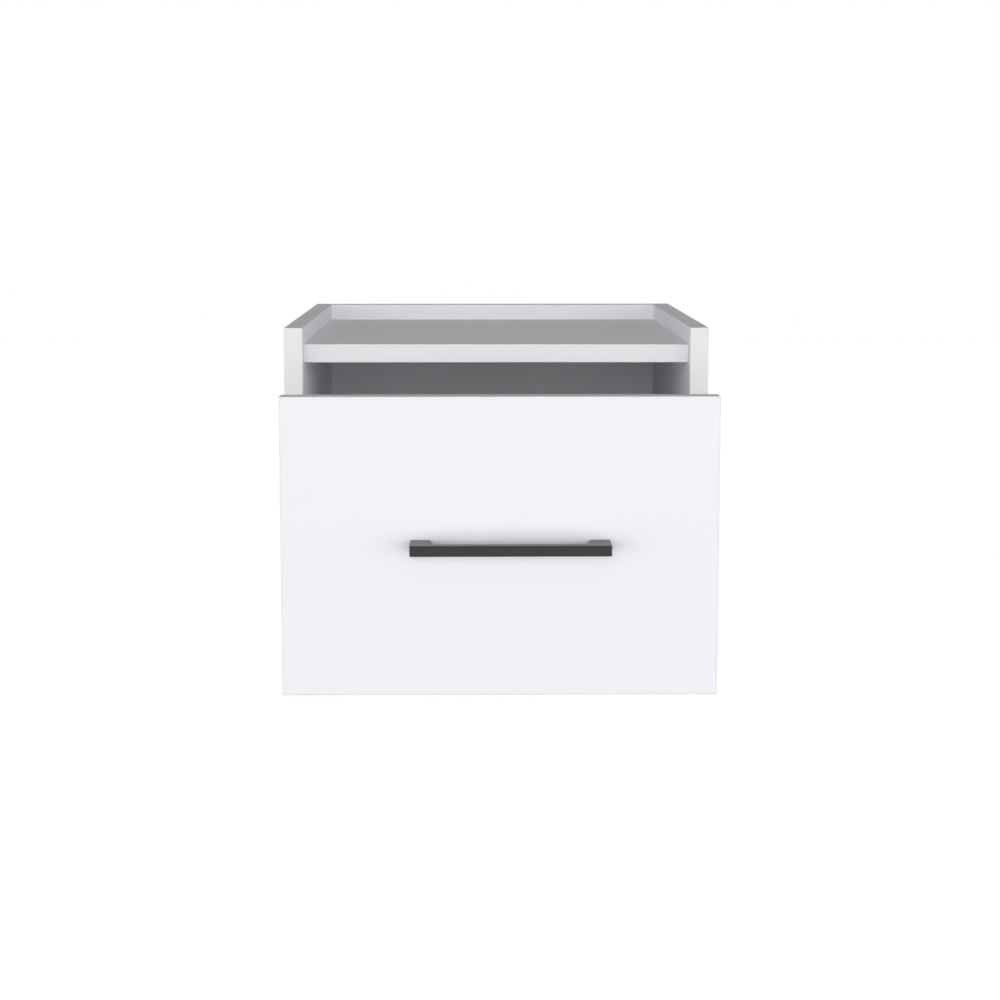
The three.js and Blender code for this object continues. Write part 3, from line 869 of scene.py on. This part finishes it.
class NIGHTSTAND_OT_handle_screws(Operator):
    """Make the two machine screws behind the handle"""
    bl_idname = "nightstand.handle_screws"
    bl_label = "Handle Screws"

    def execute(self, context):
        dome, rim, head_depth = 1.1 * MM, 1.6 * MM, 2.4 * MM
        head_chamfer, recess_depth = 0.2 * MM, 1.3 * MM
        shank, end_chamfer, plain, pitch = 2 * MM, 0.5 * MM, 1 * MM, 0.7 * MM
        end_share, root_share = 0.8, 0.82
        for side, _ in SIDES:
            node = f"handle_screw_{side}"
            low, high = node_box(node)
            head, total = (high[0] - low[0]) / 2, high[1] - low[1]
            recess = screw_cross(head, recess_depth)
            rows = [
                (head, rim), (head - head_chamfer, head_depth), (shank, head_depth),
                (shank, head_depth + end_chamfer), (shank, total - end_chamfer), (shank * end_share, total),
            ]
            bolt = headed(
                HEAD_LINES, head,
                lambda x, y: dome * ((x * x + y * y) / head**2) ** 1.5 + recess(x, y),
                screw_body(rows, head_depth + plain, total - plain, root_share * shank, pitch),
            )
            add_round(f"handle_bolt_{side}", bolt, node, (0, -1, 0))
        return {"FINISHED"}


def countersunk(head, rim, cone, neck, neck_end, thread, total, tip, pitch, recess_depth):
    """A countersunk wood screw from the face of its head: rim, cone, plain neck, thread and point."""
    edge, edge_depth, run_in, point = 0.1 * MM, 0.12 * MM, 0.2 * MM, 0.1 * MM
    thread_start, thread_end = neck_end + 0.3 * MM, total - 0.4 * MM
    point_share, root_share = 0.12, 0.68
    rows = [
        (head, edge_depth), (head, rim), (neck, rim + cone), (neck, neck_end), (thread, neck_end + run_in),
        (thread, total - tip), (thread * point_share, total - point),
    ]
    return headed(
        HEAD_LINES, head - edge, screw_cross(head, recess_depth),
        screw_body(rows, thread_start, thread_end, root_share * thread, pitch),
    )


def add_side_screws(prefix, places, shape, inwards=True):
    """The same screw at each of these places on both sides, driven inwards or else outwards."""
    for side, sign in SIDES:
        for place in places:
            along = (-sign if inwards else sign, 0, 0)
            add_round(f"{prefix}_turned_{side}_{place}", shape, f"{prefix}_{side}_{place}", along)


class NIGHTSTAND_OT_panel_screws(Operator):
    """Make the countersunk screws that hold the cabinet together"""
    bl_idname = "nightstand.panel_screws"
    bl_label = "Panel Screws"

    def execute(self, context):
        shape = countersunk(
            head=5 * MM, rim=1 * MM, cone=2.5 * MM, neck=3.4 * MM, neck_end=15 * MM, thread=2.6 * MM,
            total=48 * MM, tip=3 * MM, pitch=context.scene.nightstand_hardware.thread_pitch,
            recess_depth=2.6 * MM,
        )
        add_side_screws("panel_screw", PANEL_SCREW_PLACES, shape)
        return {"FINISHED"}


class NIGHTSTAND_OT_screw_caps(Operator):
    """Make the white caps that sit over the panel screws, flush with the sides"""
    bl_idname = "nightstand.screw_caps"
    bl_label = "Screw Caps"

    def execute(self, context):
        radius, thick, rim_radius = 6.4 * MM, 0.95 * MM, 0.3 * MM
        middle_depth, rim_depth, steps, rim_steps = 0.02 * MM, 0.16 * MM, 48, 4
        profile = [(0, middle_depth), (radius, rim_depth), (radius, thick), (0, thick)]
        points, faces = turned(rounded_corners(profile, [0, rim_radius, 0, 0], rim_steps), steps)
        half_width = abs(node_box("left_side_panel")[0][0])
        slot = "white_plastic"
        for side, sign in SIDES:
            for place in PANEL_SCREW_PLACES:
                node = f"panel_screw_{side}_{place}"
                along = (-sign, 0, 0)
                seat = start_of(node, along)
                seat[0] = sign * half_width
                add_surface(
                    f"screw_cap_{side}_{place}", set_along(points, seat, along), faces, body_of(node),
                    shared_material(slot),
                )
        return {"FINISHED"}


class NIGHTSTAND_OT_box_screws(Operator):
    """Make the screws that hold the drawer's back between its sides"""
    bl_idname = "nightstand.box_screws"
    bl_label = "Drawer Box Screws"

    def execute(self, context):
        pitch_share = 0.75
        shape = countersunk(
            head=3.8 * MM, rim=0.4 * MM, cone=2.2 * MM, neck=2 * MM, neck_end=11.7 * MM, thread=1.7 * MM,
            total=34 * MM, tip=3 * MM, pitch=pitch_share * context.scene.nightstand_hardware.thread_pitch,
            recess_depth=2 * MM,
        )
        add_side_screws("drawer_back_screw", LEVELS, shape)
        return {"FINISHED"}


def cam_drum():
    """The drum of a cam lock, its face sunk in a dish with a cross and, near the rim, an arrow head."""
    radius, deep, bevel, grid_lines = 6 * MM, 10 * MM, 0.3 * MM, 45
    cross = cross_recess(width=0.8 * MM, span=3.4 * MM, depth=2.2 * MM)
    dish_radius, dish_depth, dish_wall = 5.3 * MM, 0.35 * MM, 0.4 * MM
    arrow_tip, arrow_back, arrow_slope = 5.2 * MM, 3.7 * MM, 0.7
    arrow_depth, arrow_wall = 0.4 * MM, 0.3 * MM

    def face(x, y):
        flanks = np.clip((arrow_slope * (x + arrow_tip) - abs(y)) / arrow_wall, 0, 1)
        back = np.clip((-arrow_back - x) / arrow_wall, 0, 1)
        dish = dish_depth * np.clip((dish_radius - np.hypot(x, y)) / dish_wall, 0, 1)
        return dish + cross(x, y) + arrow_depth * (flanks * back)

    lines = np.linspace(-1, 1, grid_lines)
    return headed(lines, radius - bevel, face, plain_body([(radius, bevel), (radius, deep)]))


def cam_stud():
    """The bolt of a cam lock: a head, a thin neck and the thread that holds in the drawer front."""
    face_radius, head, neck = 2.5 * MM, 2.9 * MM, 2.2 * MM
    thread, root, point, pitch = 2.5 * MM, 1.9 * MM, 1.6 * MM, 1.25 * MM
    head_top, head_end, neck_end = 0.4 * MM, 3 * MM, 25.5 * MM
    thread_start, thread_end, total = 25.8 * MM, 36 * MM, 36.5 * MM
    rows = [
        (head, head_top), (head, head_end), (neck, head_end), (neck, neck_end), (thread, neck_end),
        (thread, thread_end), (point, total),
    ]
    body = screw_body(rows, thread_start, thread_end, root, pitch)
    return headed(HEAD_LINES, face_radius, lambda x, y: 0 * x, body)


class NIGHTSTAND_OT_cams(Operator):
    """Make the cam locks in the drawer's sides and the bolts they draw tight"""
    bl_idname = "nightstand.cams"
    bl_label = "Cam Locks and Bolts"

    def execute(self, context):
        drum, stud = cam_drum(), cam_stud()
        for side, sign in SIDES:
            for level in LEVELS:
                add_round(f"cam_drum_{side}_{level}", drum, f"cam_lock_{side}_{level}", (sign, 0, 0))
                add_round(f"cam_stud_{side}_{level}", stud, f"cam_bolt_{side}_{level}", (0, -1, 0))
        return {"FINISHED"}


def add_runner(node, track, bends, hardware):
    """A bent sheet runner with a worn line at the height of its track. Its bends run along Y, each given as
    its X, its Z and its share of the bend radius."""
    def weigh(points, edges):
        weights = np.zeros(len(edges))
        for x, z, share in bends:
            near = (abs(points[:, 0] - x) < TOUCH) & (abs(points[:, 2] - z) < TOUCH)
            weights[near[edges[:, 0]] & near[edges[:, 1]]] = share
        return weights

    bend_steps = 4
    material = runner_paint(node + "_coat", float(track), hardware)
    add_softened(node + "_rail", node, weigh, hardware.bend_radius, bend_steps, material)


class NIGHTSTAND_OT_runners(Operator):
    """Make the bent sheet runners on the cabinet's sides and under the drawer box"""
    bl_idname = "nightstand.runners"
    bl_label = "Runners"

    def execute(self, context):
        hardware = context.scene.nightstand_hardware
        sheet, inner_share = 1.5 * MM, 0.3
        for side, sign in SIDES:
            node = f"fixed_runner_{side}"
            inwards = (-sign, 0, 0)
            (_, _, lower), (_, _, upper) = node_box(node)
            web = start_of(node, inwards)[0]
            flange = web - sign * sheet
            bends = [
                (web, lower, 1.0), (web, upper, 1.0),
                (flange, lower + sheet, inner_share), (flange, upper - sheet, inner_share),
            ]
            add_runner(node, lower + sheet, bends, hardware)
            node = f"drawer_runner_{side}"
            (_, _, lower), (_, _, upper) = node_box(node)
            web = start_of(f"drawer_side_{side}", inwards)[0]
            flange = web + sign * sheet
            bends = [
                (flange, lower, 1.0), (web, upper, 1.0),
                (web, lower + sheet, inner_share), (flange, upper - sheet, inner_share),
            ]
            add_runner(node, upper - sheet, bends, hardware)
        return {"FINISHED"}


class NIGHTSTAND_OT_runner_screws(Operator):
    """Make the short screws that hold the runners"""
    bl_idname = "nightstand.runner_screws"
    bl_label = "Runner Screws"

    def execute(self, context):
        shape = countersunk(
            head=3 * MM, rim=0.2 * MM, cone=1.3 * MM, neck=1.7 * MM, neck_end=1.7 * MM, thread=1.4 * MM,
            total=9 * MM, tip=2 * MM, pitch=1.3 * MM, recess_depth=1.2 * MM,
        )
        add_side_screws("fixed_runner_screw", ENDS, shape, inwards=False)
        add_side_screws("drawer_runner_screw", ENDS, shape)
        return {"FINISHED"}


def roller_wheel():
    """A nylon wheel with a bore, a hub and a rim, and a dish between them in both faces."""
    bore, hub, rim, radius = 2.7 * MM, 4.1 * MM, 7.2 * MM, 9 * MM
    width, dish, draft = 6.5 * MM, 1.3 * MM, 0.2 * MM
    steps, corner_steps = 64, 4
    face = [(bore, 0), (hub, 0), (hub + draft, dish), (rim - draft, dish), (rim, 0), (radius, 0)]
    profile = face + [(r, width - depth) for r, depth in reversed(face)]
    face_radii = [0.15, 0.2, 0.3, 0.3, 0.2, 0.5]
    radii = np.array(face_radii + face_radii[::-1]) * MM
    return turned(rounded_corners(profile, radii, corner_steps), steps)


def roller_rivet(total):
    """A rivet of this length with a flat round head, dimpled where it was formed."""
    dimple, dimple_floor, dimple_rim, flat = 0.3 * MM, 1.1 * MM, 1.5 * MM, 3 * MM
    head, head_edge, head_depth, shank = 4 * MM, 0.5 * MM, 0.8 * MM, 2.5 * MM
    steps, corner_steps = 40, 3
    profile = [
        (0, dimple), (dimple_floor, dimple), (dimple_rim, 0), (flat, 0), (head, head_edge),
        (head, head_depth), (shank, head_depth), (shank, total), (0, total),
    ]
    radii = np.array([0, 0.1, 0.1, 0.4, 0.15, 0.08, 0, 0.2, 0]) * MM
    return turned(rounded_corners(profile, radii, corner_steps), steps)


class NIGHTSTAND_OT_rollers(Operator):
    """Make the four nylon rollers and the rivets that they turn on"""
    bl_idname = "nightstand.rollers"
    bl_label = "Rollers"

    def execute(self, context):
        wheel = roller_wheel()
        for end in ENDS:
            for side, sign in SIDES:
                along = (sign if end == "front" else -sign, 0, 0)
                pin = f"{end}_axle_{side}"
                low, high = node_box(pin)
                add_round(f"{end}_wheel_{side}", wheel, f"{end}_roller_{side}", along, "white_plastic")
                add_round(f"{end}_rivet_{side}", roller_rivet(high[0] - low[0]), pin, along)
        return {"FINISHED"}


# Stage

WHITE = (1.0, 1.0, 1.0, 1.0)


def seen_directly(coat):
    """1 for what the camera sees, straight on or by metal or glass, and 0 for what lights the piece."""
    rays = [f"Is {kind} Ray" for kind in ("Camera", "Glossy", "Transmission")]
    return coat.extreme("MAXIMUM", [coat.node("ShaderNodeLightPath", output=ray) for ray in rays])


def floor_paint(tint, lift):
    """Matt pale floor, lit by the surround and lifted to white where it is seen, and clear from beneath."""
    coat, place = paint("pale_floor")
    tone = coat.shades(coat.noise(place, 30 * MM, detail=3.0), tint, 0.985)
    matt = coat.node("ShaderNodeBsdfDiffuse", sockets={"Color": tone, "Roughness": 0.5})
    glow = coat.node("ShaderNodeEmission", sockets={"Color": WHITE, "Strength": seen_directly(coat) * lift})
    both = coat.node("ShaderNodeAddShader", sockets={0: matt, 1: glow})
    clear = coat.node("ShaderNodeBsdfTransparent")
    beneath = coat.node("ShaderNodeNewGeometry", output="Backfacing")
    return coat.end(coat.node("ShaderNodeMixShader", sockets={0: beneath, 1: both, 2: clear}))


def surround_light(stage):
    """A surround that is white where it is seen. The piece is lit from the front by a soft band a little
    below the horizon, weakly from above, and from behind and below."""
    sky = Paint(bpy.data.worlds.new("surround"))
    blend, band_drop, band_full, band_end = 0.1, 0.04, 0.08, 0.44
    _, inwards, upwards = sky.split(sky.node("ShaderNodeTexCoord", output="Generated"))
    front = sky.step(inwards, blend, -blend)
    high = sky.step(upwards, -blend, blend)
    band = sky.step(abs(upwards + band_drop), band_end, band_full)
    level = (
        stage.front_light * band * front
        + stage.high_light * high
        + stage.rear_low_light * (1 - high) * (1 - front)
    )
    seen = seen_directly(sky)
    strength = seen + level * (1 - seen)
    light = sky.node("ShaderNodeBackground", sockets={"Color": WHITE, "Strength": strength})
    return sky.end(light, "ShaderNodeOutputWorld")


def add_floor(stage):
    """The floor: one large square that sends no light up to the piece."""
    half = 9.0
    corners = [(-half, -half), (half, -half), (half, half), (-half, half)]
    mesh = bpy.data.meshes.new("floor")
    mesh.from_pydata([(x, y, stage.floor_height) for x, y in corners], [], [(0, 1, 2, 3)])
    mesh.materials.append(floor_paint(stage.floor, stage.floor_lift))
    floor = bpy.data.objects.new("floor", mesh)
    floor.visible_diffuse = False
    bpy.context.scene.collection.objects.link(floor)


def add_key_lamp(power):
    """A soft lamp behind and above the camera, which neither the camera nor a reflection sees."""
    place, tilt, width, height = (0.0, -3.0, 0.5), 0.1, 1.6, 1.0
    lamp = bpy.data.lights.new("key_lamp", "AREA")
    lamp.shape, lamp.size, lamp.size_y = "RECTANGLE", width, height
    lamp.energy = power
    holder = bpy.data.objects.new("key_lamp", lamp)
    holder.location, holder.rotation_euler = place, (math.pi / 2 - tilt, 0, 0)
    holder.visible_camera = holder.visible_glossy = False
    bpy.context.scene.collection.objects.link(holder)


def add_camera(lens):
    """The camera, placed by the photograph's outlines, with its lens shifted down a little."""
    place, tilt, turn, shift = (-0.01825, -1.97985, 0.24507), 0.1234, -0.0130, -0.07
    sensor, nearest, farthest = 36.0, 0.05, 50.0
    camera = bpy.data.cameras.new("camera")
    camera.sensor_width, camera.lens, camera.shift_y = sensor, lens, shift
    camera.clip_start, camera.clip_end = nearest, farthest
    view = bpy.data.objects.new("camera", camera)
    view.location, view.rotation_euler = place, (math.pi / 2 - tilt, 0.0, turn)
    bpy.context.scene.collection.objects.link(view)
    bpy.context.scene.camera = view


class NIGHTSTAND_OT_stage(Operator):
    """Make the floor, the white surround, the lamp and the camera"""
    bl_idname = "nightstand.stage"
    bl_label = "Stage"

    def execute(self, context):
        scene, stage = context.scene, context.scene.nightstand_stage
        add_floor(stage)
        scene.world = surround_light(stage)
        add_key_lamp(stage.key_lamp)
        add_camera(stage.lens)
        scene.view_settings.view_transform = "Standard"
        return {"FINISHED"}


class NIGHTSTAND_PT_maker(Panel):
    """Sizes, colours and steps of the nightstand"""
    bl_idname = "NIGHTSTAND_PT_maker"
    bl_label = "Floating Nightstand"
    bl_space_type = "VIEW_3D"
    bl_region_type = "UI"
    bl_category = "Nightstand"

    def draw(self, context):
        for name, _ in SETTINGS:
            box = self.layout.box()
            settings = getattr(context.scene, name)
            for item in settings.bl_rna.properties:
                if item.identifier not in ("name", "rna_type"):
                    box.prop(settings, item.identifier)
        for step in STEPS:
            self.layout.operator(step.bl_idname)


SETTINGS = (
    ("nightstand_boards", NIGHTSTAND_PG_boards),
    ("nightstand_handle", NIGHTSTAND_PG_handle),
    ("nightstand_hardware", NIGHTSTAND_PG_hardware),
    ("nightstand_stage", NIGHTSTAND_PG_stage),
)
STEPS = (
    NIGHTSTAND_OT_cabinet_boards,
    NIGHTSTAND_OT_drawer_boards,
    NIGHTSTAND_OT_handle,
    NIGHTSTAND_OT_handle_screws,
    NIGHTSTAND_OT_panel_screws,
    NIGHTSTAND_OT_screw_caps,
    NIGHTSTAND_OT_box_screws,
    NIGHTSTAND_OT_cams,
    NIGHTSTAND_OT_runners,
    NIGHTSTAND_OT_runner_screws,
    NIGHTSTAND_OT_rollers,
    NIGHTSTAND_OT_stage,
)
CLASSES = tuple(group for _, group in SETTINGS) + STEPS + (NIGHTSTAND_PT_maker,)


def register():
    for cls in CLASSES:
        bpy.utils.register_class(cls)
    for name, group in SETTINGS:
        setattr(bpy.types.Scene, name, PointerProperty(type=group))


def unregister():
    for name, _ in SETTINGS:
        delattr(bpy.types.Scene, name)
    for cls in reversed(CLASSES):
        bpy.utils.unregister_class(cls)


def main():
    register()
    bpy.ops.nightstand.cabinet_boards()
    bpy.ops.nightstand.drawer_boards()
    bpy.ops.nightstand.handle()
    bpy.ops.nightstand.handle_screws()
    bpy.ops.nightstand.panel_screws()
    bpy.ops.nightstand.screw_caps()
    bpy.ops.nightstand.box_screws()
    bpy.ops.nightstand.cams()
    bpy.ops.nightstand.runners()
    bpy.ops.nightstand.runner_screws()
    bpy.ops.nightstand.rollers()
    bpy.ops.nightstand.stage()
    bpy.context.view_layer.update()


if __name__ == "__main__":
    main()
